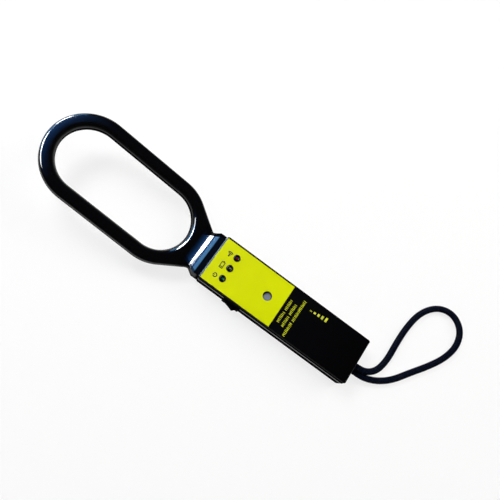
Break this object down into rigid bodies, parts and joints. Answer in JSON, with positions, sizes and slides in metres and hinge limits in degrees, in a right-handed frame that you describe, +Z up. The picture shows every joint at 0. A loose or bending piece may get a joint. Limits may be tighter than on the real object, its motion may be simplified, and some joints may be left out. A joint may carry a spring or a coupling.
{
  "type": "handheld metal detector",
  "caption": "Handheld metal detector: oval search loop on a box handle with a rocker switch, lamps, sounder, charging socket, battery door and wrist cord.",
  "frame": {"origin": "on the resting surface, under the middle of the detector's length and width, cord left out", "axes": "+X from the search loop to the handle's end, +Y to the side away from the switch, +Z up out of the label"},
  "size_m": [0.4808, 0.1667, 0.0514],
  "materials": {
    "head_plastic": "glossy black moulding",
    "case_plastic": "satin black moulding",
    "label_yellow": "printed film",
    "label_black": "printed film",
    "switch_plastic": "black nylon",
    "bezel_plastic": "black bezel",
    "lamp_green": "clear tinted lens",
    "lamp_amber": "clear tinted lens",
    "lamp_red": "clear tinted lens",
    "sounder_plastic": "black cup",
    "sounder_metal": "thin metal disc",
    "board": "green laminate",
    "chip": "moulded package",
    "board_part": "sleeved can",
    "screw_steel": "zinc plated",
    "terminal_brass": "bright",
    "coil_wire": "enamelled winding",
    "lead_black": "insulated lead",
    "lead_red": "insulated lead",
    "battery_shell": "jacketed block",
    "grommet_rubber": "soft black",
    "cord_braid": "braided nylon"
  },
  "bodies": {
    "root": {"head_upper_shell": "head_plastic", "head_lower_shell": "head_plastic", "case_tray": "case_plastic", "case_cover": "case_plastic", "label_yellow": "label_yellow", "label_black": "label_black", "switch_body": "switch_plastic", "charge_socket": "switch_plastic", "battery_snap": "switch_plastic", "lamp_bezel_green": "bezel_plastic", "lamp_bezel_amber": "bezel_plastic", "lamp_bezel_red": "bezel_plastic", "lamp_green": "lamp_green", "lamp_amber": "lamp_amber", "lamp_red": "lamp_red", "sounder_body": "sounder_plastic", "sounder_disc": "sounder_metal", "main_board": "board", "detector_chip": "chip", "driver_chip": "chip", "board_capacitors": "board_part", "board_resistors": "board_part", "case_screws": "screw_steel", "head_screws": "screw_steel", "board_screws": "screw_steel", "switch_terminals": "terminal_brass", "charge_pin": "terminal_brass", "search_coil": "coil_wire", "coil_lead": "lead_black", "battery_lead_black": "lead_black", "switch_leads": "lead_black", "charge_leads": "lead_black", "battery_lead_red": "lead_red", "battery": "battery_shell", "cord_grommet": "grommet_rubber", "wrist_cord": "cord_braid", "cord_knot": "cord_braid"},
    "switch_rocker": {"switch_rocker": "switch_plastic"},
    "battery_door": {"battery_door": "case_plastic"}
  },
  "joints": [
    {"name": "rocker_tilt", "type": "hinge", "parent": "root", "child": "switch_rocker", "pos_m": [0.05104, -0.024, 0.0094], "axis": [0, 0, 1], "range_deg": [0, 30]},
    {"name": "door_slide", "type": "slide", "parent": "root", "child": "battery_door", "axis": [1, 0, 0], "range_m": [0, 0.01]}
  ]
}
